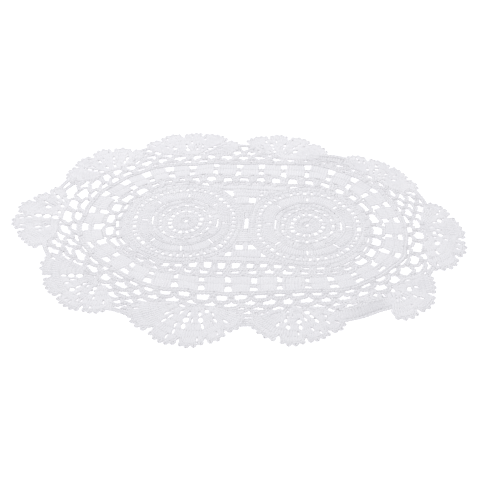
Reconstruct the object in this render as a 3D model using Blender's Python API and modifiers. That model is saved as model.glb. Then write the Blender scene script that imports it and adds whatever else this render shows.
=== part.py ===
"""Oval crochet lace doily, lying flat: one sheet of white cotton with its net left open.

Units are metres, +Z up. The doily lies on z = 0, centred on the origin, with its long way along X.

Its rounds run about a straight spine that joins the middles of the two rosettes. A point of the
sheet is given by its turn, counted in clusters clockwise round the spine from the left end, and
by its reach, the distance from the spine.
"""

import bpy
import bmesh
import numpy as np

# --- driving dimensions -------------------------------------------------------------------------

SPINE_HALF = 0.055          # from the doily's middle to the middle of either rosette
CLUSTERS_PER_END = 11       # solid leaves in each half ring
CLUSTERS_PER_SIDE = 5       # solid leaves along each straight side
CLUSTERS = 2 * (CLUSTERS_PER_END + CLUSTERS_PER_SIDE)
CELLS_PER_CLUSTER = 4
RIM_CUTS = 2                # extra outline points on the edge of each outermost cell

THICKNESS = 0.0018          # worked cotton, flat side down
FAN_FOOT = 0.098            # reach of the point that a fan's petals spread from
PETAL_SPREAD = 28.0         # degrees from the middle of one petal to the next
NOTCH_SPREAD = 5.0          # degrees from the middle of a notch to its lips
NOTCH_DEPTH = 0.0060        # how far a notch cuts in between two petals
RIM_STEP = 0.00025          # fineness with which the outline is found along a ray
RIM_LIMIT = 0.165           # no fan reaches further than this
BODY_SHARE = 0.62           # the last inner row, as a share of the way from the net to the rim
HUMP_START = 0.098          # reach where a hump starts to leave the table
HUMP_FALL = 0.012           # how far past its crest a hump has come down to its height at the rim
MERGE = 0.00002             # points closer than this are one point

# One row for each round of the work, out from the spine. `holes` is how many there are for each
# cluster, `first` the turn of one of them, and `widen` how far its two sides move apart, in turns.
ROUND_COLUMNS = ("name", "outer_reach", "holes", "first", "widen")
ROUNDS = (
    ("rosette_middles",  0.0110, 0, 0.00, 0.00),
    ("rosette_petals",   0.0400, 0, 0.00, 0.00),
    ("rosette_borders",  0.0620, 0, 0.00, 0.00),
    ("big_arches",       0.0712, 1, 0.50, 0.00),
    ("cluster_feet",     0.0750, 0, 0.00, 0.00),
    ("cluster_gaps",     0.0875, 1, 0.50, 0.00),
    ("cluster_tips",     0.0905, 0, 0.00, 0.00),
    ("first_net_round",  0.0960, 2, 0.25, 0.05),
    ("thread_between",   0.0980, 0, 0.00, 0.00),
    ("second_net_round", 0.1040, 2, 0.00, 0.05),
)
WIDE_HOLES = ("big_arches",)   # these take three cells of the four, the others one

# The ten fans of the border, clockwise from the left end. `turn` is where the foot of the fan
# stands, `height` how far it goes out from there, `before` and `after` how wide it is to either
# side, `lean` the degrees that its petals are turned clockwise, `stop` the degrees at which its
# clockwise side ends, and `edge` the reach of the plain edge between it and the next fan.
FAN_COLUMNS = ("name", "turn", "height", "before", "after", "lean", "stop", "edge")
FANS = (
    ("upper_left",    2.60, 0.0470, 0.053, 0.046,  12, 80, 0.1230),
    ("top_left",      5.37, 0.0460, 0.054, 0.055,   0, 80, 0.1245),
    ("top_right",     9.20, 0.0465, 0.045, 0.055,   0, 80, 0.1110),
    ("upper_right",  13.00, 0.0290, 0.047, 0.048,  14, 80, 0.1165),
    ("right",        16.05, 0.0425, 0.048, 0.057,   6, 68, 0.1190),
    ("lower_right",  18.90, 0.0415, 0.044, 0.045,   0, 31, 0.1185),
    ("bottom_right", 22.00, 0.0460, 0.049, 0.046,   0, 80, 0.1245),
    ("bottom_left",  25.60, 0.0515, 0.046, 0.060,   0, 80, 0.1210),
    ("lower_left",   28.95, 0.0435, 0.046, 0.060,  -6, 80, 0.1270),
    ("left",         31.92, 0.0585, 0.044, 0.056,  -4, 80, 0.1310),
)

# Where the border leaves the table: a soft hump at `turn`, `width` turns to either side. It rises
# to `height` at the reach `crest`, and past that comes to `at_rim`.
HUMP_COLUMNS = ("name", "turn", "width", "crest", "height", "at_rim")
HUMPS = (
    ("upper_left_ripple",   1.30, 1.0, 0.132, 0.0022, 0.0022),
    ("top_ripple",          7.40, 1.1, 0.128, 0.0016, 0.0016),
    ("upper_right_curl",   11.40, 1.3, 0.108, 0.0030, 0.0012),
    ("upper_right_ripple", 14.50, 1.0, 0.116, 0.0018, 0.0014),
    ("lower_right_roll",   20.00, 0.9, 0.110, 0.0060, 0.0008),
    ("bottom_ripple",      23.75, 1.1, 0.128, 0.0022, 0.0022),
    ("lower_left_ripple",  27.60, 1.1, 0.126, 0.0026, 0.0026),
    ("left_ripple",        30.50, 0.9, 0.130, 0.0020, 0.0020),
)

COTTON_WHITE = (0.80, 0.79, 0.81, 1.0)


def rows(columns, table):
    """A table's rows, each as a dictionary of its named columns."""
    return [dict(zip(columns, row)) for row in table]


# --- where a point of the sheet lies ------------------------------------------------------------

def ray(turn):
    """The foot of a ray on the spine and its heading. The heading turns about a rosette's middle
    at the two ends, and stays square to the spine along the two sides."""
    end_left = CLUSTERS_PER_END / 2
    top_end = end_left + CLUSTERS_PER_SIDE
    right_end = top_end + CLUSTERS_PER_END
    bottom_end = right_end + CLUSTERS_PER_SIDE
    stops = (0, end_left, top_end, right_end, bottom_end, CLUSTERS)
    feet = (-SPINE_HALF, -SPINE_HALF, SPINE_HALF, SPINE_HALF, -SPINE_HALF, -SPINE_HALF)
    headings = (180, 90, 90, -90, -90, -180)
    turn = np.mod(turn, CLUSTERS)
    return np.interp(turn, stops, feet), np.radians(np.interp(turn, stops, headings))


def place(turn, reach):
    """The point of the sheet at a turn and a reach, as x and y."""
    foot, heading = ray(turn)
    return foot + reach * np.cos(heading), reach * np.sin(heading)


# --- the outline --------------------------------------------------------------------------------

def fan_radius(fan, degrees):
    """How far a fan goes at an angle from its middle line: an ellipse, wider to one side than to
    the other, less a V-shaped notch on each line between two petals. Past its stop it is nothing.
    """
    petals = degrees - fan["lean"]
    nearest_line = (np.floor(petals / PETAL_SPREAD) + 0.5) * PETAL_SPREAD
    notch = np.clip(1 - np.abs(petals - nearest_line) / NOTCH_SPREAD, 0, 1)
    half_width = np.where(degrees < 0, fan["before"], fan["after"])
    angle = np.radians(degrees)
    whole = 1 / np.hypot(np.cos(angle) / fan["height"], np.sin(angle) / half_width)
    return np.where((np.abs(degrees) < 90) & (degrees < fan["stop"]), whole - NOTCH_DEPTH * notch, 0)


def rim(turns):
    """Reach of the outline at each turn: the furthest point of its ray inside any fan, or the plain
    edge between two fans where that is further out."""
    turns = np.asarray(turns)
    steps = np.arange(FAN_FOOT, RIM_LIMIT, RIM_STEP)
    x, y = place(turns[:, None], steps[None, :])
    furthest = np.zeros(len(turns))
    fans = rows(FAN_COLUMNS, FANS)
    for fan in fans:
        foot_x, foot_y = place(fan["turn"], FAN_FOOT)
        heading = ray(fan["turn"])[1]
        outward = (x - foot_x) * np.cos(heading) + (y - foot_y) * np.sin(heading)
        sideways = (x - foot_x) * np.sin(heading) - (y - foot_y) * np.cos(heading)
        degrees = np.degrees(np.arctan2(sideways, outward))
        inside = np.hypot(outward, sideways) < fan_radius(fan, degrees)
        furthest = np.maximum(furthest, np.where(inside, steps[None, :], 0).max(axis=1))
    fan_turns = np.array([fan["turn"] for fan in fans])
    before = np.searchsorted(fan_turns, np.mod(turns, CLUSTERS), side="right") - 1
    plain_edge = np.array([fan["edge"] for fan in fans])[before]
    return np.maximum(furthest, plain_edge)


def smooth(share):
    """A smooth step from 0 to 1 as its share goes from 0 to 1."""
    share = np.clip(share, 0, 1)
    return share * share * (3 - 2 * share)


def lift(turn, reach):
    """Height of the underside off the table: the sum of the humps. Each is a raised cosine across
    its width, and along the ray it steps up to its crest and then down to its height at the rim.
    """
    height = np.zeros(np.broadcast(turn, reach).shape)
    for hump in rows(HUMP_COLUMNS, HUMPS):
        apart = np.abs(np.mod(turn - hump["turn"] + CLUSTERS / 2, CLUSTERS) - CLUSTERS / 2)
        across = 0.5 + 0.5 * np.cos(np.pi * np.clip(apart / hump["width"], 0, 1))
        risen = hump["height"] * smooth((reach - HUMP_START) / (hump["crest"] - HUMP_START))
        fallen = (hump["height"] - hump["at_rim"]) * smooth((reach - hump["crest"]) / HUMP_FALL)
        height = height + across * (risen - fallen)
    return height


# --- the sheet ----------------------------------------------------------------------------------

def line_turns(columns, rounds, line):
    """Turns of the grid's points on one line between two rounds. The lines run through the edges
    of the cells, and where the round beside has two holes a cluster their sides are moved apart."""
    turns = (columns - 0.5) / CELLS_PER_CLUSTER
    for beside in (line - 1, line):
        if 0 <= beside < len(rounds) and rounds[beside]["holes"] == 2:
            phase = (turns - rounds[beside]["first"]) * 2 * np.pi * 2
            turns = turns + rounds[beside]["widen"] * np.sign(np.sin(phase))
    return turns


def is_hole(round_row, cell):
    """Whether a round leaves this cell open. Cells are centred on quarter turns of a cluster."""
    if round_row["holes"] == 0:
        return False
    period = CELLS_PER_CLUSTER // round_row["holes"]
    from_hole = (cell - round(round_row["first"] * CELLS_PER_CLUSTER)) % period
    if round_row["name"] in WIDE_HOLES:
        return from_hole in (0, 1, period - 1)
    return from_hole == 0


def is_join_gap(round_index, cell):
    """The long gap where the two rosettes touch: the first round's cell at the middle of a side."""
    half_way_round = CLUSTERS // 2 * CELLS_PER_CLUSTER
    middle_of_top = half_way_round // 2
    return round_index == 0 and cell % half_way_round == middle_of_top


def make_sheet():
    """The underside of the sheet as an open surface: a plain grid, wrapped round the spine, with
    its hole cells taken out and its outermost edges cut finer to carry the outline."""
    rounds = rows(ROUND_COLUMNS, ROUNDS)
    columns = CLUSTERS * CELLS_PER_CLUSTER
    inner_lines = len(rounds) + 1
    lines = inner_lines + 2
    sheet = bmesh.new()
    bmesh.ops.create_grid(sheet, x_segments=columns, y_segments=lines - 1, size=1)
    corners = np.array([corner.co for corner in sheet.verts])
    column = np.rint((corners[:, 0] + 1) / 2 * columns).astype(int)
    line = np.rint((corners[:, 1] + 1) / 2 * (lines - 1)).astype(int)

    reaches = np.array([0] + [row["outer_reach"] for row in rounds])
    turns = np.zeros(len(corners))
    reach = np.zeros(len(corners))
    for index in range(lines):
        here = line == index
        turns[here] = line_turns(column[here], rounds, index)
        if index < inner_lines:
            reach[here] = reaches[index]
    around = np.arange(columns * (RIM_CUTS + 1)) / (RIM_CUTS + 1)
    fine_rim = rim((around - 0.5) / CELLS_PER_CLUSTER)
    nearby = range(-CELLS_PER_CLUSTER, CELLS_PER_CLUSTER + 1)
    low_rim = np.min([np.roll(fine_rim, shift) for shift in nearby], axis=0)
    at_column = (column % columns) * (RIM_CUTS + 1)
    body = line == inner_lines
    edge = line == inner_lines + 1
    reach[body] = (reaches[-1] + (low_rim[at_column] - reaches[-1]) * BODY_SHARE)[body]
    reach[edge] = fine_rim[at_column][edge]

    cells = {}
    for face in sheet.faces:
        numbers = [corner.index for corner in face.verts]
        cells[face] = (line[numbers].min(), column[numbers].min())
    open_cells = [
        face for face, (row, cell) in cells.items()
        if (row < len(rounds) and is_hole(rounds[row], cell)) or is_join_gap(row, cell)
    ]
    x, y = place(turns, reach)
    z = lift(turns, reach)
    for corner, point in zip(sheet.verts, np.stack([x, y, z], axis=1)):
        corner.co = point
    bmesh.ops.delete(sheet, geom=open_cells, context="FACES")
    bmesh.ops.remove_doubles(sheet, verts=sheet.verts, dist=MERGE)
    cut_rim(sheet)
    bmesh.ops.recalc_face_normals(sheet, faces=sheet.faces)
    if sum(face.normal.z for face in sheet.faces) < 0:
        bmesh.ops.reverse_faces(sheet, faces=sheet.faces)
    return sheet


def cut_rim(sheet):
    """Cuts each outermost edge finer and lays the new points on the outline."""
    far_out = min(fan["edge"] for fan in rows(FAN_COLUMNS, FANS)) - MERGE
    outer = [
        edge for edge in sheet.edges
        if edge.is_boundary and min(spine_reach(corner.co) for corner in edge.verts) > far_out
    ]
    cut = bmesh.ops.subdivide_edges(sheet, edges=outer, cuts=RIM_CUTS)
    added = [item for item in cut["geom_inner"] if isinstance(item, bmesh.types.BMVert)]
    turns = np.array([spine_turn(corner.co) for corner in added])
    reach = rim(turns)
    x, y = place(turns, reach)
    z = lift(turns, reach)
    for corner, point in zip(added, np.stack([x, y, z], axis=1)):
        corner.co = point


def spine_reach(point):
    """Distance of a point from the spine."""
    beyond = max(abs(point.x) - SPINE_HALF, 0)
    return np.hypot(beyond, point.y)


def spine_turn(point):
    """The turn of a point: the angle about a rosette's middle at the ends, or the place along the
    spine at the sides, counted in clusters."""
    step = 180 / CLUSTERS_PER_END
    along = 2 * SPINE_HALF / CLUSTERS_PER_SIDE
    if abs(point.x) < SPINE_HALF:
        from_end = CLUSTERS_PER_END / 2 + (point.x + SPINE_HALF) / along
        return from_end if point.y > 0 else CLUSTERS - from_end
    if point.x < 0:
        heading = np.degrees(np.arctan2(point.y, -(point.x + SPINE_HALF)))
        return (heading / step) % CLUSTERS
    heading = np.degrees(np.arctan2(point.y, point.x - SPINE_HALF))
    return CLUSTERS / 2 - heading / step


def cotton():
    """White mercerised cotton thread: matt, faintly cool."""
    material = bpy.data.materials.new("cotton")
    material.use_nodes = True
    shader = material.node_tree.nodes["Principled BSDF"]
    shader.inputs["Base Color"].default_value = COTTON_WHITE
    shader.inputs["Roughness"].default_value = 0.85
    shader.inputs["Metallic"].default_value = 0.0
    return material


def centre_on_origin(sheet):
    """Moves the sheet so that the middle of its outline is over the origin."""
    corners = np.array([corner.co for corner in sheet.verts])
    middle = (corners.min(axis=0) + corners.max(axis=0)) / 2
    bmesh.ops.translate(sheet, verts=sheet.verts, vec=(-middle[0], -middle[1], 0))


# --- the doily ----------------------------------------------------------------------------------

for old in list(bpy.data.objects):
    bpy.data.objects.remove(old, do_unlink=True)

collection = bpy.data.collections.new("lace_doily_parts")
bpy.context.scene.collection.children.link(collection)

surface = make_sheet()
centre_on_origin(surface)
mesh = bpy.data.meshes.new("lace_doily")
surface.to_mesh(mesh)
surface.free()
mesh.materials.append(cotton())

doily = bpy.data.objects.new("lace_doily", mesh)
collection.objects.link(doily)
thicken = doily.modifiers.new("thickness", "SOLIDIFY")
thicken.thickness = THICKNESS
thicken.offset = 1.0
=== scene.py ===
"""An oval crochet lace doily, laid flat: every stitch of it worked in white cotton thread.

Metres, +Z up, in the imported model's frame. The piece is put together here as it is crocheted:
two rosettes, the bars and bands that join them, two rounds of arches, a round of leaves, the
net, and the ten fans of the border.
"""

import bpy
import numpy as np
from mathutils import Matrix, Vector


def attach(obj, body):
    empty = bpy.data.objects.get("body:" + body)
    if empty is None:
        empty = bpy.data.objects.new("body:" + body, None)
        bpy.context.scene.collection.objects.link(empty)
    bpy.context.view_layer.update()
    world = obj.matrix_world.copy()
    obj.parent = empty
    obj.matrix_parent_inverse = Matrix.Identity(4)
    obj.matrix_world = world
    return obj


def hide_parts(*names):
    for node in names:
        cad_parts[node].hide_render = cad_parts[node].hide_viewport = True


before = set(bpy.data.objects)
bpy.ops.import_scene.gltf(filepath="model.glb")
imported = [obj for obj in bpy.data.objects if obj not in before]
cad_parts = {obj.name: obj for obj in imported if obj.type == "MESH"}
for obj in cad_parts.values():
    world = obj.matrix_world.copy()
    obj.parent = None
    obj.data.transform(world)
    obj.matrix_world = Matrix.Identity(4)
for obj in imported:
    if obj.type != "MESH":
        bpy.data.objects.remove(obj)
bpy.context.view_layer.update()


# --- the table, the light and the eye -----------------------------------------------------------
# A plain white table top of backlit acrylic in an evenly lit white room, under a big soft light
# box, seen from in front and above at 40 degrees.

def cloud_colour(material, scale, detail, dark, light, low=0.0, high=1.0):
    """Gives a material a colour that drifts over the object: from dark to light as a noise of that
    scale and detail goes from low to high. Returns the node with the object's coordinates."""
    nodes, links = material.node_tree.nodes, material.node_tree.links
    where = nodes.new("ShaderNodeTexCoord")
    cloud = nodes.new("ShaderNodeTexNoise")
    cloud.inputs["Scale"].default_value = scale
    cloud.inputs["Detail"].default_value = detail
    tint = nodes.new("ShaderNodeValToRGB")
    tint.color_ramp.elements[0].position = low
    tint.color_ramp.elements[0].color = (*dark, 1)
    tint.color_ramp.elements[1].position = high
    tint.color_ramp.elements[1].color = (*light, 1)
    links.new(where.outputs["Object"], cloud.inputs["Vector"])
    links.new(cloud.outputs["Fac"], tint.inputs["Fac"])
    links.new(tint.outputs["Color"], nodes["Principled BSDF"].inputs["Base Color"])
    return where


def backlit_acrylic():
    """Matt white acrylic with a faint cloudiness, which the light under it shines through."""
    material = bpy.data.materials.new("backlit_white_acrylic")
    material.use_nodes = True
    shader = material.node_tree.nodes["Principled BSDF"]
    shader.inputs["Roughness"].default_value = 0.7
    shader.inputs["Specular IOR Level"].default_value = 0.1
    shader.inputs["Emission Color"].default_value = (1, 1, 1, 1)
    shader.inputs["Emission Strength"].default_value = 0.42
    cloud_colour(material, 6.0, 3.0, (0.916, 0.916, 0.921), (0.93, 0.93, 0.935))
    return material


TABLE_HALF = 3.0
top_mesh = bpy.data.meshes.new("table_top")
top_mesh.from_pydata(
    [(-TABLE_HALF, -TABLE_HALF, 0), (TABLE_HALF, -TABLE_HALF, 0),
     (TABLE_HALF, TABLE_HALF, 0), (-TABLE_HALF, TABLE_HALF, 0)], [], [(0, 1, 2, 3)])
table_top = bpy.data.objects.new("table_top", top_mesh)
bpy.context.scene.collection.objects.link(table_top)
top_mesh.materials.append(backlit_acrylic())

room = bpy.data.worlds.new("white_room")
room.use_nodes = True
room.node_tree.nodes["Background"].inputs["Color"].default_value = (0.97, 0.98, 1.0, 1)
room.node_tree.nodes["Background"].inputs["Strength"].default_value = 0.77
bpy.context.scene.world = room

light_box = bpy.data.lights.new("light_box", "AREA")
light_box.shape = "RECTANGLE"
light_box.size = 1.0
light_box.size_y = 0.7
light_box.energy = 5.3
lamp = bpy.data.objects.new("light_box", light_box)
bpy.context.scene.collection.objects.link(lamp)
lamp.location = (-0.35, 1.00, 0.90)
lamp.rotation_euler = Vector(lamp.location).to_track_quat("Z", "Y").to_euler()

LOOK_AT = Vector((0.0080, 0.0028, 0.0))
EYE_DISTANCE = 0.80
EYE_HEIGHT = np.radians(40)         # above the table
EYE_TURN = np.radians(3)            # round the work, towards its right
ahead = Vector((-np.sin(EYE_TURN), np.cos(EYE_TURN), 0))
eye = bpy.data.objects.new("eye", bpy.data.cameras.new("eye"))
bpy.context.scene.collection.objects.link(eye)
sight = ahead * np.cos(EYE_HEIGHT) - Vector((0, 0, np.sin(EYE_HEIGHT)))
eye.location = LOOK_AT - EYE_DISTANCE * sight
eye.rotation_euler = (LOOK_AT - eye.location).to_track_quat("-Z", "Y").to_euler()
eye.data.lens = 66.44
eye.data.sensor_width = 36.0
eye.data.shift_x = -0.0125
eye.data.shift_y = -0.0323
eye.data.clip_start = 0.01
bpy.context.scene.camera = eye
bpy.context.scene.view_settings.view_transform = "Standard"


# --- the two rosettes ---------------------------------------------------------------------------
# Round motifs of crochet cotton, each worked out from a small ring: tall stitches in rings, with
# chain along their tops, eight raised arches, eight solid petals, a ladder and a close band.

SPINE_CENTRE = np.array([0.0080, 0.0025])   # midway between the middles of the rosettes
SPINE_HALF = 0.055                          # from there to either middle
END_TURNS, SIDE_TURNS = 11, 5               # turns round either end, and along either side
LEAVES = 2 * (END_TURNS + SIDE_TURNS)       # in their round: a turn is one leaf's share of it
LEFT_TOP, RIGHT_TOP = END_TURNS / 2, END_TURNS / 2 + SIDE_TURNS     # turns where sides begin or end
RIGHT_BOTTOM, LEFT_BOTTOM = LEAVES - RIGHT_TOP, LEAVES - LEFT_TOP
TURN_STOPS = (0, LEFT_TOP, RIGHT_TOP, RIGHT_BOTTOM, LEFT_BOTTOM, LEAVES)
STITCH = 0.0034                             # length of one chain stitch
CHAIN_AXIS, POST_AXIS = 0.0010, 0.0013      # heights of their middles over the work's underside
RAISED_CHAIN = 0.0015                       # the same of chain that lies over other stitches
UP = np.array([0.0, 0.0, 1.0])

hand = np.random.default_rng(7)


def ray(turn):
    """Foot of a ray on the spine and its heading: it turns about a rosette's middle at the ends
    and stays square to the spine along the sides."""
    turn = np.mod(turn, LEAVES)
    feet = (-SPINE_HALF, -SPINE_HALF, SPINE_HALF, SPINE_HALF, -SPINE_HALF, -SPINE_HALF)
    headings = (180, 90, 90, -90, -90, -180)
    return np.interp(turn, TURN_STOPS, feet), np.radians(np.interp(turn, TURN_STOPS, headings))


def place(turn, reach):
    """The point at a turn and a reach: foot of the ray + reach times its heading."""
    foot, heading = ray(turn)
    return foot + reach * np.cos(heading), reach * np.sin(heading)


def spine_place(x, y):
    """Turn and reach of a point: the distance from the spine, and the angle about its end or the
    place along its side, in turns."""
    past = np.maximum(np.abs(x) - SPINE_HALF, 0)
    reach = np.hypot(past, y)
    step, along = np.pi / END_TURNS, 2 * SPINE_HALF / SIDE_TURNS
    left = np.arctan2(y, np.maximum(-x - SPINE_HALF, 1e-9)) / step
    right = LEAVES / 2 - np.arctan2(y, np.maximum(x - SPINE_HALF, 1e-9)) / step
    from_left = (x + SPINE_HALF) / along
    side = np.where(y > 0, LEFT_TOP + from_left, LEFT_BOTTOM - from_left)
    turn = np.where(x < -SPINE_HALF, left, np.where(x > SPINE_HALF, right, side))
    return np.mod(turn, LEAVES), reach


def ease(share):
    """A smooth step: 3 s^2 - 2 s^3."""
    share = np.clip(share, 0, 1)
    return share * share * (3 - 2 * share)


# Where the border leaves the table. Columns: turn, width in turns, reach of the crest, height, and
# height at the rim.
HUMPS = (
    (1.30, 1.0, 0.132, 0.0022, 0.0022),
    (7.40, 1.1, 0.128, 0.0016, 0.0016),
    (11.40, 1.3, 0.108, 0.0030, 0.0012),
    (14.50, 1.0, 0.116, 0.0018, 0.0014),
    (20.00, 0.9, 0.110, 0.0060, 0.0008),
    (23.75, 1.1, 0.128, 0.0022, 0.0022),
    (27.60, 1.1, 0.126, 0.0026, 0.0026),
    (30.50, 0.9, 0.130, 0.0020, 0.0020),
)
LIFT_FROM, RIM_FALL = 0.098, 0.012      # reach where a hump begins, and how wide its fall is


def lift(x, y):
    """Height of the work's underside: for each hump a raised cosine across it, times a smooth step
    up to its crest and down again to its height at the rim."""
    turn, reach = spine_place(x, y)
    height = np.zeros(np.shape(turn))
    for middle, width, crest, high, at_rim in HUMPS:
        apart = np.abs(np.mod(turn - middle + LEAVES / 2, LEAVES) - LEAVES / 2)
        across = 0.5 + 0.5 * np.cos(np.pi * np.clip(apart / width, 0, 1))
        risen = high * ease((reach - LIFT_FROM) / (crest - LIFT_FROM))
        fallen = (high - at_rim) * ease((reach - crest) / RIM_FALL)
        height = height + across * (risen - fallen)
    return height


# How far handling has pushed the work along x and along y. Columns of each wave: size, then
# radians a metre along x, radians a metre along y, and its start.
PUSHED_X = ((0.00050, 0, 130, 1.1), (0.00040, 175, 95, 0), (0.00030, 70, -260, 0))
PUSHED_Y = ((0.00050, 118, 0, 0.4), (0.00040, 90, -190, 0), (0.00030, 240, 60, 0))
RIPPLE = 0.00012


def waves(rows, x, y):
    """The sum over the rows of size sin(along_x x + along_y y + start)."""
    return sum(size * np.sin(x * along_x + y * along_y + start)
               for size, along_x, along_y, start in rows)


def on_table(x, y, above):
    """Points of the model's frame over a point of the work: x and y each move by the sum of three
    waves. The height is the lift and `above`, plus a slow ripple that is the sum of two sines."""
    x, y, above = np.broadcast_arrays(x, y, above)
    ripple = RIPPLE * (2 + np.sin(x * 310 + 2 * np.sin(y * 90)) + np.sin(y * 270 + 1.3))
    to_x = x + waves(PUSHED_X, x, y) + SPINE_CENTRE[0]
    to_y = y + waves(PUSHED_Y, x, y) + SPINE_CENTRE[1]
    return np.stack([to_x, to_y, lift(x, y) + above + ripple], -1)


def unit(vectors):
    """Each vector divided by its length."""
    return vectors / np.maximum(np.linalg.norm(vectors, axis=-1, keepdims=True), 1e-12)


def tube(points, radius, sides=5, lobe=0.0, twist=0.0, flat=1.0):
    """Tubes along rows of points. Ring point = point + radius (1 + lobe cos 2(a - twist s)) times
    (cos a side + flat sin a over), with a round the ring and s along the tube. Returns the rings,
    and the length of thread up to each."""
    heading = unit(np.gradient(points, axis=1))
    side = unit(np.cross(UP, heading))
    over = np.cross(heading, side)
    a = 2 * np.pi * np.arange(sides) / sides
    s = np.linspace(0, 1, points.shape[1])
    swell = 1 + lobe * np.cos(2 * (a[None, :] - twist * s[:, None]))
    size = (np.broadcast_to(radius, points.shape[:2])[:, :, None] * swell)[..., None]
    flat = np.broadcast_to(flat, points.shape[:2])[:, :, None, None]
    ring = points[:, :, None] + size * (
        np.cos(a)[:, None] * side[:, :, None] + flat * np.sin(a)[:, None] * over[:, :, None])
    step = np.linalg.norm(np.diff(points, axis=1), axis=2)
    length = np.concatenate([np.zeros((len(points), 1)), np.cumsum(step, axis=1)], axis=1)
    return ring, length


LEG_ROWS = np.array([-1.0, -0.5, 0.4, 1.0])     # v along a leg of a chain stitch


def chain(line, wide=0.0017, stitch=STITCH):
    """Crochet chain along lines: every stitch is a pair of plump legs that open like a V. With v
    from -1 to 1 along a leg, it lies at (0.5 + 0.74 v) of a stitch along, and in shares of the
    chain's width 0.28 + 0.14 v - 0.08 v^2 to its side and 0.09 (1 - v^2) up; its half width is
    0.30 sqrt(1 - 0.5 v^2). Stitches are spaced evenly by length, and a flat strand along their
    back stands in for the bumps there. `wide` is half the chain's width."""
    fine = np.linspace(0, 1, 97)
    run = np.linalg.norm(np.diff(line(fine), axis=1), axis=2).mean(axis=0)
    stitches = max(2, int(round(run.sum() / stitch)))
    share = np.clip((np.arange(stitches)[:, None] + 0.5 + 0.74 * LEG_ROWS).ravel() / stitches, 0, 1)
    share = np.interp(share, np.concatenate([[0], np.cumsum(run)]) / run.sum(), fine)
    middle = line(share)
    a_little = 0.004
    heading = line(np.clip(share + a_little, 0, 1)) - line(np.clip(share - a_little, 0, 1))
    side = unit(np.cross(UP, heading))
    v = np.tile(LEG_ROWS, stitches)[:, None]
    width = wide * 2
    across = width * (0.28 + 0.14 * v - 0.08 * v * v)
    over = width * 0.09 * (1 - v * v)
    legs = np.stack([middle + sign * side * across + UP * over for sign in (-1, 1)])
    legs = legs.reshape(-1, LEG_ROWS.size, 3)
    half = np.broadcast_to(width * 0.30 * np.sqrt(1 - 0.5 * LEG_ROWS ** 2), legs.shape[:2])
    back = line(np.linspace(0, 1, 2 * stitches + 1))
    return [tube(legs, half, flat=0.72), tube(back, 0.85 * wide, flat=0.42)]


POST_HALF_HEIGHT, POST_ARCH = 0.0007, 0.0002
PLY_TURN = 0.0060           # length in which the plies go once round each other


def posts(foot, head, at_foot, at_head, bow=0.0):
    """Tall stitches from feet to heads: two plies wound round each other, which is a tube with a
    two-lobed section that turns along it. Each is bowed sideways by bow sin(pi s) and up by
    POST_ARCH sin(pi s). Its half width goes evenly from at_foot to at_head, give or take a
    twentieth, and its half height stays the same."""
    s = np.linspace(0, 1, 7)
    count = len(foot)
    path = foot[:, None] + (head - foot)[:, None] * s[:, None]
    side = unit(np.cross(UP, head - foot))[:, None]
    wave = np.sin(np.pi * s)
    bow, at_foot, at_head = (np.broadcast_to(v, (count,))[:, None] for v in (bow, at_foot, at_head))
    path = path + side * (bow * wave)[..., None] + UP * (POST_ARCH * wave)[:, None]
    radius = (at_foot + (at_head - at_foot) * s) * (1 + 0.05 * hand.standard_normal((count, 1)))
    twist = 2 * np.pi * np.linalg.norm(head - foot, axis=1).mean() / PLY_TURN
    return tube(path, radius, sides=8, lobe=0.12, twist=twist, flat=POST_HALF_HEIGHT / radius)


RIDGES_ROUND, RIDGES_ALONG = 3.0, 1500.0    # round the thread, and in a metre of it


def cotton_thread():
    """White mercerised cotton: a faint cool cloud of colour, the twist of its plies as ridges that
    run slantwise round the thread (bump = sin 2 pi (u round + v along)), and a soft sheen."""
    material = bpy.data.materials.new("white_cotton_thread")
    material.use_nodes = True
    nodes, links = material.node_tree.nodes, material.node_tree.links
    shader = nodes["Principled BSDF"]
    shader.inputs["Roughness"].default_value = 0.8
    shader.inputs["Specular IOR Level"].default_value = 0.25
    shader.inputs["Sheen Weight"].default_value = 0.35
    shader.inputs["Sheen Roughness"].default_value = 0.5
    where = cloud_colour(material, 38.0, 4.0, (0.925, 0.912, 0.935), (0.955, 0.942, 0.960), 0.35, 0.7)
    stretch = nodes.new("ShaderNodeMapping")
    stretch.inputs["Scale"].default_value = (RIDGES_ROUND, RIDGES_ALONG, 1.0)
    slant = nodes.new("ShaderNodeVectorMath")
    slant.operation = "DOT_PRODUCT"
    slant.inputs[1].default_value = (2 * np.pi, 2 * np.pi, 0.0)
    ridge = nodes.new("ShaderNodeMath")
    ridge.operation = "SINE"
    bump = nodes.new("ShaderNodeBump")
    bump.inputs["Strength"].default_value = 0.28
    bump.inputs["Distance"].default_value = 0.00008
    links.new(where.outputs["UV"], stretch.inputs["Vector"])
    links.new(stretch.outputs["Vector"], slant.inputs[0])
    links.new(slant.outputs["Value"], ridge.inputs[0])
    links.new(ridge.outputs["Value"], bump.inputs["Height"])
    links.new(bump.outputs["Normal"], shader.inputs["Normal"])
    return material


cotton = cotton_thread()


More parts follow.
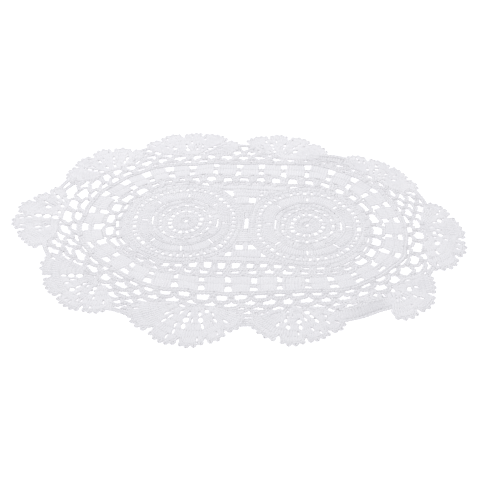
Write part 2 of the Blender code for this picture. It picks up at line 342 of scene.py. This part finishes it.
def worked(name, tubes):
    """One piece of crochet from its tubes: the rings of each are joined by four-sided faces and
    closed by a flat face at either end. Its UV map is round the thread, and along it in metres."""
    points, corners, sizes, uvs, first = [], [], [], [], 0
    parts = [part for group in tubes for part in (group if isinstance(group, list) else [group])]
    for ring, length in parts:
        count, rows, sides = ring.shape[:3]
        number = first + np.arange(count * rows * sides).reshape(count, rows, sides)
        first += count * rows * sides
        points.append(ring.reshape(-1, 3))
        here, ahead = number[:, :-1], number[:, 1:]
        quads = np.stack([here, np.roll(here, -1, 2), np.roll(ahead, -1, 2), ahead], -1)
        corners += [quads.ravel(), number[:, 0, ::-1].ravel(), number[:, -1].ravel()]
        sizes += [np.full(quads[..., 0].size, 4), np.full(2 * count, sides)]
        u = np.broadcast_to(np.arange(sides) / sides, here.shape)
        low = np.broadcast_to(length[:, :-1, None], here.shape)
        high = np.broadcast_to(length[:, 1:, None], here.shape)
        around = np.stack([u, u + 1 / sides, u + 1 / sides, u], -1)
        uvs.append(np.stack([around, np.stack([low, low, high, high], -1)], -1).reshape(-1, 2))
        uvs.append(np.zeros((2 * count * sides, 2)))
    points, corners, sizes = np.concatenate(points), np.concatenate(corners), np.concatenate(sizes)
    mesh = bpy.data.meshes.new(name)
    mesh.vertices.add(len(points))
    mesh.vertices.foreach_set("co", points.astype(np.float32).ravel())
    mesh.loops.add(len(corners))
    mesh.loops.foreach_set("vertex_index", corners.astype(np.int32))
    mesh.polygons.add(len(sizes))
    starts = np.concatenate([[0], np.cumsum(sizes)[:-1]])
    mesh.polygons.foreach_set("loop_start", starts.astype(np.int32))
    mesh.update(calc_edges=True)
    mesh.polygons.foreach_set("use_smooth", np.ones(len(sizes), bool))
    thread = mesh.uv_layers.new(name="thread")
    thread.data.foreach_set("uv", np.concatenate(uvs).astype(np.float32).ravel())
    mesh.materials.append(cotton)
    piece = bpy.data.objects.new(name, mesh)
    bpy.context.scene.collection.objects.link(piece)
    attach(piece, "root")
    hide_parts("lace_doily")
    return piece


def rosette(name, side):
    """All the rounds of one rosette. `side` is -1 for the left one and 1 for the right one."""

    def polar(angle, radius, above):
        """Places about the rosette's middle. Angle 0 points at the other rosette, and there the
        outer rounds are pressed in: the radius is less by 5 % exp(-(sin(angle / 2) / 0.25)^2)."""
        pressed = radius * (1 - 0.05 * np.exp(-(np.sin(angle / 2) / 0.25) ** 2) * ease(radius / 0.05))
        x = side * (SPINE_HALF - pressed * np.cos(angle))
        return on_table(x, pressed * np.sin(angle), above)

    def ring(radius, wide=0.0016, dip=0.0, above=CHAIN_AXIS):
        """A round of chain, drawn in by dip |cos 4 angle|^8 between the petals."""
        def line(t):
            angle = 2 * np.pi * t[None, :]
            near = np.abs(np.cos(4 * angle)) ** 8
            return polar(angle, radius - dip * near, above)
        return chain(line, wide)

    def spokes(count, low, high, in_group=1, apart=0.0, shift=0.0, fat=0.0, astray=0.0002):
        """A round of tall stitches from radius low to high, in groups with their stitches `apart`.
        Half a stitch's width is `fat`, or else 62 % of the pitch, and it stands `astray` at random."""
        middle = 2 * np.pi * (np.arange(count) + shift) / count
        offset = (np.arange(in_group) - (in_group - 1) / 2) * apart / (0.5 * (low + high))
        angle = (middle[:, None] + offset[None, :]).ravel()
        angle = angle + astray / high * hand.standard_normal(angle.size)
        close = np.clip(0.62 * 2 * np.pi * np.array([low, high]) / (count * in_group), 0.0006, 0.0016)
        at_foot, at_head = (fat, fat) if fat else close
        return posts(polar(angle, low, POST_AXIS), polar(angle, high, POST_AXIS), at_foot, at_head)

    def raised_arches():
        """Eight loops of chain, each from under the middle of a petal to the next: radius =
        26.2 mm + slack (sin pi t)^0.7. They hang slacker above and below the middle."""
        middle = np.pi / 4 * np.arange(8)[:, None]
        slack = 0.0010 + 0.0020 * np.abs(np.sin(middle)) * hand.uniform(0.5, 1.2, (8, 1))

        def line(t):
            rise = np.sin(np.pi * t) ** 0.7
            angle = middle + np.radians(43) * (t - 0.5)
            return polar(angle, 0.0262 + slack * rise, 0.0011 + 0.0001 * rise)
        return chain(line, 0.0018)

    def petals():
        """Eight solid petals of 13 stitches each: radius of a top = 42.4 mm - 1.8 mm |u|^5."""
        middle = np.pi / 4 * (np.arange(8) + 0.5)[:, None]
        u = np.linspace(-1, 1, 13)[None, :]
        foot = (middle + np.radians(18.9) * u).ravel()
        head = (middle + np.radians(20.0) * u).ravel()
        top = np.broadcast_to(0.0424 - 0.0018 * np.abs(u) ** 5, (8, 13)).ravel()
        return posts(polar(foot, 0.0322, POST_AXIS), polar(head, top, POST_AXIS), 0.0011, 0.0014)

    # From the middle out: counts, and radii of feet and heads.
    rounds = [
        spokes(24, 0.0044, 0.0104),
        spokes(16, 0.0120, 0.0170, fat=0.0017, astray=0.0005),
        spokes(16, 0.0208, 0.0250, in_group=2, apart=0.0028, shift=0.5, fat=0.0017, astray=0.0004),
        spokes(8, 0.0262, 0.0316, in_group=4, apart=0.0028, shift=0.5, fat=0.0017, astray=0.0005),
        petals(),
        spokes(48, 0.0438, 0.0490, fat=0.0021, astray=0.0006),
        spokes(110, 0.0506, 0.0538),
    ]
    rows = [
        ring(0.0036), ring(0.0112, above=0.0016), ring(0.0178), ring(0.0202), ring(0.0254),
        raised_arches(), ring(0.0324, above=0.0017), ring(0.0432, 0.0019, dip=0.0012),
        ring(0.0498, 0.0019), ring(0.0545, 0.0018),
    ]
    return worked(name, rounds), worked(name + "_rows", rows)


rosette_left, rosette_left_rows = rosette("rosette_left", -1)
rosette_right, rosette_right_rows = rosette("rosette_right", 1)


# --- the bars and bands between the rosettes ----------------------------------------------------
# Where the rosettes touch, long stitches are worked from their edges into a close band on each
# side, which carries the rounds across the waist.

# For each side, in millimetres: reach of the band's two edges; the patches of stitches between the
# rosettes (columns: x from, x to, y from, y to); and the rows of chain (columns: x from, x to, y).
BANDS = {-1: (46.2, 51.2), 1: (49.4, 56.0)}
PATCHES = {
    -1: ((0.2, 2.4, 27, 37), (-9.2, -9.0, 28, 37), (-10.0, 13.6, 37, 46), (-19.4, -17.4, 40, 46),
         (22, 24, 44, 46)),
    1: ((-9.8, -0.2, 27, 39), (9.2, 9.4, 29, 39), (-12.8, 8.8, 39, 45), (14.6, 16.8, 39, 44.6),
        (-13.6, 7.8, 44.5, 49), (18.6, 23.2, 44.5, 49)),
}
CROSSINGS = {
    -1: ((-7.5, 7.5, 27.5), (-13.6, 13.6, 37.2)),
    1: ((-7, 7, 27.5), (-15, 16, 39.2), (-14, 21, 44.6)),
}
BAND_HALF, BAND_STITCHES = 0.037, 34
SHORTEST_STITCH = 0.0012
BAR_AXIS, BAR_CHAIN_AXIS = 0.0012, 0.0011   # heights of their middles over the work's underside
JOINS = (0.0085, 0.0110, 0.0136, 0.0164, 0.0192, 0.0218, 0.0243)    # y of the bars past the slit
JOIN_RADIUS, EDGE_RADIUS = 0.0540, 0.0553   # of a rosette, where bars and bands begin


def waist(sign):
    """One side's stitches: bars from rosette to rosette, patches of tall stitches and the chain
    across them, and a straight band of tall stitches between two rows of chain. The band's feet
    follow the rosettes' rim, y = sqrt(radius^2 - (spine half - |x|)^2), where that lies past it."""
    low, high = (edge / 1000 for edge in BANDS[sign])

    def stitches(foot_x, foot_y, head_x, head_y, half_width):
        foot_y, head_y = (np.broadcast_to(sign * y, foot_x.shape) for y in (foot_y, head_y))
        feet, heads = on_table(foot_x, foot_y, BAR_AXIS), on_table(head_x, head_y, BAR_AXIS)
        return posts(feet, heads, half_width, half_width)

    def row(from_x, to_x, y):
        def line(t):
            return on_table(from_x + (to_x - from_x) * t[None, :], sign * y, BAR_CHAIN_AXIS)
        return chain(line, 0.0016)

    x = np.linspace(-BAND_HALF, BAND_HALF, BAND_STITCHES)
    rim = np.sqrt(np.maximum(EDGE_RADIUS ** 2 - (SPINE_HALF - np.abs(x)) ** 2, 0))
    foot_y = np.maximum(rim, low)
    keep = foot_y < high - SHORTEST_STITCH
    close = [stitches(x[keep], foot_y[keep], x[keep], high, 0.0015)]
    for from_x, to_x, from_y, to_y in np.array(PATCHES[sign]) / 1000:
        x = np.linspace(from_x, to_x, 1 + int(round((to_x - from_x) / 0.0024)))
        close.append(stitches(x, from_y, x * 1.02, to_y, 0.0014))
    y = np.array(JOINS)
    half = SPINE_HALF - np.sqrt(JOIN_RADIUS ** 2 - y ** 2)
    close.append(stitches(-half, y, half, y, 0.0015))
    rows = [row(*crossing) for crossing in np.array(CROSSINGS[sign]) / 1000]
    return close + rows + [row(-0.027, 0.027, low), row(-0.038, 0.038, high + 0.0004)]


waist_bars = worked("waist_bars", waist(1) + waist(-1))


# --- the two rounds of arches -------------------------------------------------------------------
# Loops of chain stitch that run right round both rosettes: a low round, and a round of big loops
# hooked into it. Each loop is fixed by a short stitch into the round before.

# Where the rounds lie, in millimetres: handling has pulled them out at the left end and in at the
# lower right. Columns: turn, then reach of the big loops' feet and crowns, the leaves' middles and
# tips, and the two net rounds.
ROUNDS = (
    (0.0, 64.0, 74.0, 84.0, 92.8, 103.2, 114.0),
    (1.4, 62.5, 73.0, 82.0, 91.3, 99.8, 109.5),
    (2.4, 57.5, 68.6, 78.3, 90.0, 99.3, 109.0),
    (3.5, 60.0, 67.5, 76.0, 87.0, 95.3, 105.0),
    (4.5, 61.5, 68.5, 77.5, 88.2, 94.8, 103.3),
    (5.5, 60.5, 69.0, 78.5, 88.0, 96.5, 105.5),
    (6.5, 62.5, 72.5, 83.3, 92.5, 98.8, 106.8),
    (8.0, 63.2, 72.5, 82.0, 92.0, 99.0, 107.0),
    (9.3, 61.8, 73.2, 83.0, 93.8, 96.8, 104.0),
    (10.3, 60.5, 72.5, 83.5, 95.0, 97.8, 103.0),
    (11.3, 59.8, 69.5, 80.0, 92.0, 96.5, 101.5),
    (12.3, 57.0, 67.5, 79.0, 90.0, 97.0, 101.5),
    (13.3, 56.8, 66.5, 78.0, 87.5, 93.8, 100.0),
    (14.4, 58.0, 66.2, 76.6, 85.6, 91.5, 98.5),
    (15.6, 57.0, 68.5, 77.2, 85.8, 94.2, 102.0),
    (16.4, 57.5, 69.0, 78.4, 87.4, 95.2, 105.0),
    (17.5, 60.3, 71.0, 80.4, 89.4, 95.2, 105.2),
    (18.9, 60.3, 69.5, 78.2, 86.2, 93.8, 103.5),
    (20.2, 60.5, 67.8, 75.8, 84.0, 91.0, 99.0),
    (21.2, 58.5, 66.2, 75.6, 82.8, 90.2, 97.8),
    (22.4, 58.0, 66.4, 74.6, 84.8, 92.0, 100.4),
    (23.5, 59.3, 68.8, 79.2, 88.2, 97.0, 104.6),
    (24.5, 60.5, 68.6, 78.5, 89.2, 99.2, 107.0),
    (25.6, 61.5, 69.8, 78.4, 89.4, 99.4, 104.8),
    (26.6, 61.5, 68.4, 75.8, 86.0, 95.2, 102.6),
    (27.7, 60.8, 67.0, 75.4, 85.8, 93.2, 100.6),
    (28.7, 59.8, 66.2, 75.2, 83.9, 90.6, 99.6),
    (29.6, 61.2, 67.8, 77.2, 86.0, 93.8, 102.2),
    (30.5, 63.6, 72.0, 82.4, 91.2, 98.2, 105.5),
    (31.3, 63.2, 74.2, 84.0, 94.0, 103.2, 114.0),
    (32.0, 64.0, 74.0, 84.0, 92.8, 103.2, 114.0),
)
THICKNESS_SHIFT = 0.0014    # how far the rounds lie towards -y of those reaches
LOW_FOOT, LOOP_FOOT, LOOP_CROWN, LEAF_MIDDLE, LEAF_TIP, NET_ROUND_1, NET_ROUND_2 = (
    0.0520, 0.0605, 0.0698, 0.0790, 0.0888, 0.0965, 0.1045)
PAST_ALL = 0.2


def pulled(turn, reach):
    """A round's true reach: the table's rounds stand in for the even ones, with straight lines
    between turns and between rounds. Past the last round its pull stays the same."""
    even = np.array([LOOP_FOOT, LOOP_CROWN, LEAF_MIDDLE, LEAF_TIP, NET_ROUND_1, NET_ROUND_2])
    turns, rounds = np.array(ROUNDS)[:, 0], np.array(ROUNDS)[:, 1:] / 1000
    turn, reach = np.broadcast_arrays(np.mod(turn, LEAVES), reach)
    pull = np.stack([np.interp(turn, turns, rounds[:, i]) - even[i] for i in range(6)], -1)
    pull = pull - (THICKNESS_SHIFT * np.sin(ray(turn)[1]))[..., None]
    pull = np.concatenate([np.zeros(pull.shape[:-1] + (1,)), pull, pull[..., -1:]], -1)
    stops = np.concatenate([[LOW_FOOT], even, [PAST_ALL]])
    step = np.clip(np.searchsorted(stops, reach, side="right") - 1, 0, 6)
    share = np.clip((reach - stops[step]) / (stops[step + 1] - stops[step]), 0, 1)
    low = np.take_along_axis(pull, step[..., None], -1)[..., 0]
    high = np.take_along_axis(pull, step[..., None] + 1, -1)[..., 0]
    return reach + low + (high - low) * share


def laid(turn, reach, above):
    """Points of the rounds: the place at a turn and its pulled reach, laid on the table. At the
    left end the net leans over: past the leaves' tips its turns shift by a quarter in 8.5 mm."""
    turn, reach = np.broadcast_arrays(turn, reach)
    leaning = np.interp(np.mod(turn + 4, LEAVES), (1.5, 3.0, 5.5, 7.0), (0, 1, 1, 0))
    out = pulled(turn, reach)
    x, y = place(turn + 0.25 * leaning * np.clip((reach - LEAF_TIP) / 0.0085, 0, 1.5), out)
    return on_table(x, y, above)


def evenly(count, reach, first=0.0):
    """Turns of points spaced evenly round the work at a reach: the length along the round,
    turned back into turns."""
    quarter = np.pi / 2 * reach
    ends = np.cumsum([0, quarter, 2 * SPINE_HALF, 2 * quarter, 2 * SPINE_HALF, quarter])
    return np.interp(np.mod((np.arange(count + 1) + first) / count, 1) * ends[-1], ends, TURN_STOPS)


LEAF_PITCH = 0.024          # about the length of a turn along the rounds


def arches(turn_from, turn_to, foot, crown, wide):
    """Loops of chain between feet: reach = foot + (crown - foot) (1 - |2t - 1|^8). A loop begins
    and ends 30 % of its half width inside its turns, so that neighbours stand apart."""
    turn_from, turn_to, foot, crown = (np.broadcast_to(value, np.shape(turn_from))[:, None]
                                       for value in (turn_from, turn_to, foot, crown))
    span = np.mod(turn_to - turn_from, LEAVES)
    inset = 0.30 * wide / LEAF_PITCH

    def line(t):
        turn = turn_from + inset + (span - 2 * inset) * t
        rise = 1 - np.abs(2 * t - 1) ** 8.0
        return laid(turn, foot + (crown - foot) * rise, CHAIN_AXIS)
    return chain(line, wide)


def stretched(turn_from, turn_to, foot, crown, wide, at_ends):
    """Loops of chain that are pulled thinner at the two ends, where |cos heading| > 0.75."""
    foot, crown = (np.broadcast_to(value, turn_from.shape) for value in (foot, crown))
    ends = np.abs(np.cos(ray(turn_from)[1])) > 0.75
    return sum((arches(turn_from[some], turn_to[some], foot[some], crown[some], wide=width)
                for some, width in ((ends, at_ends), (~ends, wide))), [])


KNOT = 0.0036               # length of one


def knots(turn, reach):
    """Short stitches that hook a loop into the round before: two chain stitches along the ray."""
    turn, reach = turn[:, None], np.broadcast_to(reach, turn.shape)[:, None]
    return chain(lambda t: laid(turn, reach + KNOT * (t - 0.3), RAISED_CHAIN), 0.0019, KNOT / 2)


LOW_ARCHES, BIG_ARCHES = 48, 41
# Columns: turn, and reach of the low loops' feet there in millimetres.
LOW_FEET = ((0, 57), (4.3, 57), (5.5, 55.3), (10.5, 55.8), (11.5, 56.5), (15, 56), (16, 53.5),
            (18.5, 53.5), (19.5, 57.5), (20.3, 57), (21, 52), (26, 52.5), (27, 57.5), (32, 57))
# Columns: number of a big loop, and the turn of its foot.
BIG_FEET = ((-6, -5.3), (0, 0.05), (5, 4.3), (8, 6.35), (14, 10.6), (17, 13.2), (20, 16.3),
            (24, 19.55), (30, 23.6), (35, 26.7), (41, 32.05))
low_feet = evenly(LOW_ARCHES, 0.057)
low_middle = np.mod(low_feet[:-1] + np.mod(np.diff(low_feet), LEAVES) / 2, LEAVES)
low_start = np.interp(low_middle, *np.array(LOW_FEET).T) / 1000
low_loops = stretched(low_feet[:-1], low_feet[1:], low_start, LOOP_FOOT, 0.0020, 0.0015)
big_feet = np.mod(np.interp(np.arange(BIG_ARCHES + 1) - 0.5, *np.array(BIG_FEET).T), LEAVES)
big_loops = stretched(big_feet[:-1], big_feet[1:], LOOP_FOOT, LOOP_CROWN - 0.0008, 0.0025, 0.0018)

# A band of short stitches round either end, between the rosette and the low loops.
END_SPANS, END_STITCHES = ((-4.6, 4.6), (11.4, 20.4)), 76      # turns from and to, and stitches in each
END_IN, END_OUT = 0.0548, 0.0574
end_turn = np.concatenate([np.linspace(*span, END_STITCHES) for span in END_SPANS])
end_band = posts(laid(end_turn, END_IN, CHAIN_AXIS), laid(end_turn, END_OUT, CHAIN_AXIS), 0.0013, 0.0013)
low_rounds = worked("low_rounds", [low_loops, end_band, knots(low_feet[:-1], low_start)])
big_rounds = worked("big_rounds", [big_loops, knots(big_feet[:-1], LOOP_FOOT)])


# --- the leaves ---------------------------------------------------------------------------------
# Thirty-two solid leaves of long stitches in two rows, the first worked over the big loops and the
# second into the first. Chain joins leaf to leaf at the middle and at the tips.

LEAF_STITCHES = 7
LEAF_HALF = 0.0070          # half a leaf's width at its middle
END_PITCH, SIDE_PITCH = 0.0233, 0.0220      # length of a turn along the leaves


def leaves():
    """Each leaf is two rows of posts, a little wider at its middle than at its ends, with chain
    from leaf to leaf where the rows meet and at the tips."""
    middle = np.arange(LEAVES)[:, None]
    u = np.linspace(-1, 1, LEAF_STITCHES)[None, :]
    square_to_spine = np.abs(np.cos(ray(middle)[1])) < 0.01
    per_turn = np.where(square_to_spine, SIDE_PITCH, END_PITCH)

    def spread(half, reach):
        """Places of a leaf's stitches at a reach: turn = leaf + half u / pitch, u from -1 to 1."""
        turn = middle + half * u / per_turn
        return laid(turn.ravel(), np.broadcast_to(reach, turn.shape).ravel(), POST_AXIS)

    wide = LEAF_HALF * (1 + 0.06 * hand.standard_normal((LEAVES, 1)))
    bulge = np.tile(0.0006 * np.linspace(1, -1, LEAF_STITCHES) ** 3, LEAVES)
    first = posts(spread(0.94 * wide, LOOP_CROWN + 0.0006), spread(wide, LEAF_MIDDLE + 0.0006),
                  0.0016, 0.0017, bow=bulge)
    second = posts(spread(wide, LEAF_MIDDLE - 0.0006), spread(0.80 * wide, LEAF_TIP - 0.0004),
                   0.0017, 0.0014, bow=bulge)

    def between(reach, half, bow, above):
        """Lines from leaf to leaf: reach + bow 4 t (1 - t), from `half` past one's middle."""
        def line(t):
            turn = middle + half / per_turn + (1 - 2 * half / per_turn) * t
            return laid(turn, reach + bow * 4 * t * (1 - t), above)
        return line

    return [first, second, chain(between(LEAF_MIDDLE, 0.0062, 0.0, CHAIN_AXIS), 0.0024),
            chain(between(LEAF_TIP, 0.0004, 0.0004, RAISED_CHAIN), 0.0024)]


leaf_round = worked("leaf_round", leaves())


# --- the net ------------------------------------------------------------------------------------
# Rounds of chain loops, each hooked into the crowns of the round before, so the holes lie like
# bricks. Past the second round only the gaps between the fans are filled.

NET_ARCHES, OUTER_ARCHES = 52, 70

# Each fan's place, its petals as they lie, and the notch after it, in millimetres. Columns: name;
# turn; reach of its foot; width; reach of the notch's edge; depth of that edge's solid rim; degrees
# between petals, from the fan's heading; height of each petal over the foot.
FAN_COLUMNS = ("name", "turn", "foot", "width", "edge", "solid", "petals", "heights")
FANS = (
    ("upper_left",    2.60, 98,  98, 122.0, 0, (-64, -29, 0, 31, 58, 80), (49, 45.5, 46.5, 45, 45)),
    ("top_left",      5.37, 98, 105, 120.5, 0, (-76, -49, -16, 14, 50, 76), (50.3, 45.8, 42.3, 46, 52)),
    ("top_right",     9.20, 98,  97, 108.0, 6, (-50, -14, 15, 48, 84), (44.5, 43, 45, 51)),
    ("upper_right",  13.00, 90,  88, 115.0, 0, (-80, -41, 2, 40, 74), (42.5, 34.8, 35.5, 45)),
    ("right",        16.05, 98, 104, 119.0, 0, (-73, -34, 16, 46, 81), (42.3, 39, 47, 55)),
    ("lower_right",  18.90, 98,  89, 121.0, 9, (-72, -31, 5, 38), (40, 42, 42.5)),
    ("bottom_right", 22.00, 98,  96, 128.2, 0, (-73, -43, -13, 16, 57), (47.3, 45.6, 46.8, 46.2)),
    ("bottom_left",  25.60, 98, 107, 126.5, 0, (-63, -36, -13, 13, 43, 80), (48, 49, 53.5, 55, 58)),
    ("lower_left",   28.95, 98, 108, 126.5, 0, (-64, -27, 11, 46, 80), (43.8, 43.9, 47, 55)),
    ("left",         31.92, 98, 104, 130.0, 0, (-56, -18, 7, 30, 48, 66), (53, 59, 60.3, 53, 52)),
)
NET_PITCH = 0.0056          # depth of a row between the fans
NET_ROWS = 6                # the most of them
SHORTEST_ROW = 0.0020
EDGE_CHAIN = 1.0            # half its width, in millimetres
PETAL_FOOT = 0.29           # share of a fan's size under which its outer petals are left to the net
TUCKED = 0.93               # share of a fan's size to which a notch's edge runs under it
POST_PITCH = 0.0023         # from tall stitch to tall stitch
fans = [dict(zip(FAN_COLUMNS, row)) for row in FANS]


def fan_size(fan, degrees):
    """Reach of a fan from its foot: straight lines between the heights of its petals."""
    petals = np.array(fan["petals"])
    return np.interp(degrees, (petals[1:] + petals[:-1]) / 2, np.array(fan["heights"]) / 1000)


def in_fans(turn, reach):
    """How deep a point is in any fan: its distance from the foot as a share of the fan's size. It
    is infinite outside the petals, and in the feet of the outer petals."""
    x, y = place(turn, reach)
    depth = np.full(np.shape(x), np.inf)
    for fan in fans:
        foot_x, foot_y = place(fan["turn"], fan["foot"] / 1000)
        heading = ray(fan["turn"])[1]
        outward = (x - foot_x) * np.cos(heading) + (y - foot_y) * np.sin(heading)
        sideways = (x - foot_x) * np.sin(heading) - (y - foot_y) * np.cos(heading)
        degrees = np.degrees(np.arctan2(sideways, outward))
        share = np.hypot(outward, sideways) / fan_size(fan, degrees)
        start, after_first, *_, before_last, stop = fan["petals"]
        inner = (degrees > after_first) & (degrees < before_last)
        inside = (degrees > start) & (degrees < stop) & (inner | (share > PETAL_FOOT))
        depth = np.where(inside, np.minimum(depth, share), depth)
    return depth


def notch_net(turns):
    """Reach of the net's edge in the notch between the two fans on either side of a turn: the
    notch's own edge, less its chain and its solid rim."""
    starts = [fan["turn"] for fan in fans]
    before = np.searchsorted(starts, np.mod(turns, LEAVES), side="right") - 1
    return np.array([(fan["edge"] - fan["solid"] - EDGE_CHAIN) / 1000 for fan in fans])[before]


def unsteady(turns):
    """Turns of a round's feet, each out by a hand's error of about 0.035 of a turn; the last stays
    the same as the first."""
    turns = turns + 0.035 * hand.standard_normal(turns.size)
    turns[-1] = turns[0]
    return np.mod(turns, LEAVES)


feet_1 = unsteady(evenly(NET_ARCHES, 0.095, first=0.5))
feet_2 = unsteady(evenly(NET_ARCHES, 0.095))
feet_3 = unsteady(evenly(OUTER_ARCHES, 0.115, first=0.5))
feet_4 = unsteady(evenly(OUTER_ARCHES, 0.115))
net_tubes = [
    stretched(feet_1[:-1], feet_1[1:], LEAF_TIP + 0.0010, NET_ROUND_1, 0.0021, 0.0017),
    stretched(feet_2[:-1], feet_2[1:], NET_ROUND_1, NET_ROUND_2, 0.0021, 0.0017),
    knots(feet_1[:-1], LEAF_TIP + 0.0014), knots(feet_2[:-1], NET_ROUND_1),
]

# Between the fans: as many rows as the notch is deep, and the loops that some fan doesn't cover.
outer_tubes = []
for row, feet in zip(range(NET_ROWS), (feet_1, feet_2, feet_3, feet_4, feet_3, feet_4)):
    start, stop = feet[:-1], feet[1:]
    span = np.mod(stop - start, LEAVES)
    middle = np.mod(start + span / 2, LEAVES)
    pull = pulled(middle, NET_ROUND_2) - NET_ROUND_2
    deep = np.maximum(notch_net(middle) - pull - NET_ROUND_2, SHORTEST_ROW)
    count = np.maximum(1, np.round(deep / NET_PITCH))
    low, high = NET_ROUND_2 + deep * row / count, NET_ROUND_2 + deep * (row + 1) / count
    along = middle + np.array([[-0.3], [0.0], [0.3]]) * span
    keep = (row < count) & (in_fans(along, (low + high) / 2 + pull) > 1).any(axis=0)
    if keep.any():
        outer_tubes.append(arches(start[keep], stop[keep], low[keep], high[keep], wide=0.0019))
        outer_tubes.append(knots(start[keep], low[keep]))

# The notches' edges: a chain from fan to fan, and where the rim is solid, tall stitches inside it.
for here, after in zip(fans, fans[1:] + fans[:1]):
    turns = here["turn"] + np.mod(after["turn"] - here["turn"], LEAVES) * np.linspace(0, 1, 300)
    reach = (here["edge"] - EDGE_CHAIN) / 1000
    bare = turns[in_fans(turns, reach) > TUCKED]
    outer_tubes.append(chain(lambda t: on_table(
        *place(bare[0] + (bare[-1] - bare[0]) * t[None, :], reach), BAR_AXIS), 0.0020))
    if here["solid"]:
        inside = reach - here["solid"] / 1000
        bare = turns[in_fans(turns, inside) > TUCKED]
        x, y = place(bare[[0, -1]], reach)
        stitches = int(round(np.hypot(*np.diff([x, y])[:, 0]) / POST_PITCH))
        stitch_turns = np.linspace(bare[0], bare[-1], stitches)
        outer_tubes.append(posts(on_table(*place(stitch_turns, inside), POST_AXIS),
                                 on_table(*place(stitch_turns, reach), POST_AXIS), 0.0015, 0.0015))
net_rounds = worked("net_rounds", net_tubes)
net_corners = worked("net_corners", outer_tubes)


# --- the ten fans -------------------------------------------------------------------------------
# The border: each fan has three to five broad petals of tall stitches in seven rows that grow
# outwards, with small holes between petals and little points of chain along the scalloped edge.

ROW_SHARES = (0.02, 0.16, 0.29, 0.42, 0.55, 0.68, 0.81, 0.945)     # the rows' edges
ROW_HOLES = (0.0, 0.4, 1.0, 1.1, 0.8, 0.4, 0.2)     # how far each row opens between petals
ROW_SPECKS = (0.0, 0.0, 0.0017, 0.0019, 0.0017, 0.0015, 0.0014)    # half widths of its other holes
WIDEST_HOLE, LEAST_HOLE = 0.0025, 0.0015            # half widths between petals
SPECK_CHANCE = 0.30
SCALLOP = 0.21              # how far a petal's corners fall below its crest, as a share
OVERLAP = 0.012             # how far a row reaches into the next, as a share
PICOT, PICOT_PITCH = 0.0014, 0.0062                 # radius of a loop's line, and loop to loop


def fan_piece(fan):
    """One fan, in polar places about its foot. Row edges are shares of the fan's size, and u goes
    from -1 to 1 across a petal. Stitches bow away from a hole by hole u^2 at the petal's edge and
    speck (1 - |u - u of the speck|)^3 within it. Holes that point along x open up to 45 % wider."""
    foot_x, foot_y = place(fan["turn"], fan["foot"] / 1000)
    heading = ray(fan["turn"])[1]

    def spot(degrees, share, above):
        """A place at an angle from the fan's heading and a share of its size, kept off the net."""
        size = fan_size(fan, degrees) * share
        outward, sideways = size * np.cos(np.radians(degrees)), size * np.sin(np.radians(degrees))
        x = foot_x + outward * np.cos(heading) + sideways * np.sin(heading)
        y = foot_y + outward * np.sin(heading) - sideways * np.cos(heading)
        turn, reach = spine_place(x, y)
        reach = np.maximum(reach, pulled(turn, NET_ROUND_2) + 0.0004)
        x, y = place(turn, reach)
        return on_table(x, y, above)

    petals, last = fan["petals"], len(fan["heights"]) - 1
    close, rows = [], []
    for row, (low, high) in enumerate(zip(ROW_SHARES[:-1], ROW_SHARES[1:])):
        at_crest = high == ROW_SHARES[-1]
        holes = WIDEST_HOLE * ROW_HOLES[row] * np.clip(hand.normal(0.75, 0.55, last + 2), 0, 1.25)
        holes *= 1 + 0.45 * np.abs(np.cos(heading - np.radians(np.array(petals))))
        holes[[0, -1]] = 0
        holes[holes < LEAST_HOLE] = 0
        angle, bow, top, apart = [], [], [], []
        for petal, (start, stop) in enumerate(zip(petals[:-1], petals[1:])):
            if row < 2 and petal in (0, last):      # the net is there
                continue
            width = np.radians(stop - start) * fan_size(fan, (start + stop) / 2) * high
            stitches = max(2, int(round(width / POST_PITCH)))
            u = (2 * np.arange(stitches) + 1 - stitches) / stitches
            away = u - hand.uniform(-0.7, 0.7, (2, 1))
            specks = ROW_SPECKS[row] * (hand.random((2, 1)) < SPECK_CHANCE)
            aside = (specks * np.sign(away) * np.clip(1 - np.abs(away), 0, 1) ** 3).sum(axis=0)
            bow.append(holes[petal + 1] * np.maximum(u, 0) ** 2
                       - holes[petal] * np.maximum(-u, 0) ** 2 - aside)
            angle.append((start + stop) / 2 + (stop - start) / 2 * u * (0.93 if at_crest else 1))
            fall = SCALLOP * np.abs(u * stitches / (stitches - 1)) ** 5
            top.append(high - fall * at_crest)
            apart.append(np.full(stitches, width / high / stitches))
        angle, bow, top, apart = (np.concatenate(part) for part in (angle, bow, top, apart))
        feet = spot(angle, low - OVERLAP * (row > 0), POST_AXIS)
        heads = spot(angle, top + OVERLAP * (not at_crest), POST_AXIS)
        keep = np.linalg.norm(heads - feet, axis=1) > 0.0020
        thick = [np.clip(0.64 * apart * share, 0.0006, 0.00155)[keep] for share in (low, high)]
        close.append(posts(feet[keep], heads[keep], *thick, bow=bow[keep]))

    for start, stop in zip(petals[:-1], petals[1:]):
        def scallop(t):
            """The crest of a petal: share = last row's edge - SCALLOP |2t - 1|^5."""
            return spot(start + (stop - start) * (0.035 + 0.93 * t[None, :]),
                        ROW_SHARES[-1] - SCALLOP * np.abs(2 * t[None, :] - 1) ** 5, POST_AXIS)
        rows.append(chain(scallop))
        picots = int(round(np.radians(stop - start) * fan_size(fan, (start + stop) / 2) / PICOT_PITCH))
        u = (2 * np.arange(picots) + 1 - picots) / picots
        at, out = (start + stop) / 2 + (stop - start) / 2 * u * 0.92, 0.974 - 0.07 * u ** 2
        centre = spot(at, out, BAR_AXIS)
        outward = unit(spot(at, out + 0.02, BAR_AXIS) - centre)[:, None]
        around = np.linspace(0, 2 * np.pi, 11)[:, None]
        sideways = np.cross(UP, outward)
        loop = centre[:, None] + PICOT * (np.sin(around) * sideways + 1.3 * np.cos(around) * outward)
        rows.append(tube(loop, 0.0011, sides=6, flat=0.8))
    return worked("fan_" + fan["name"], close), worked("fan_" + fan["name"] + "_rows", rows)


for fan in fans:
    piece, rows = fan_piece(fan)
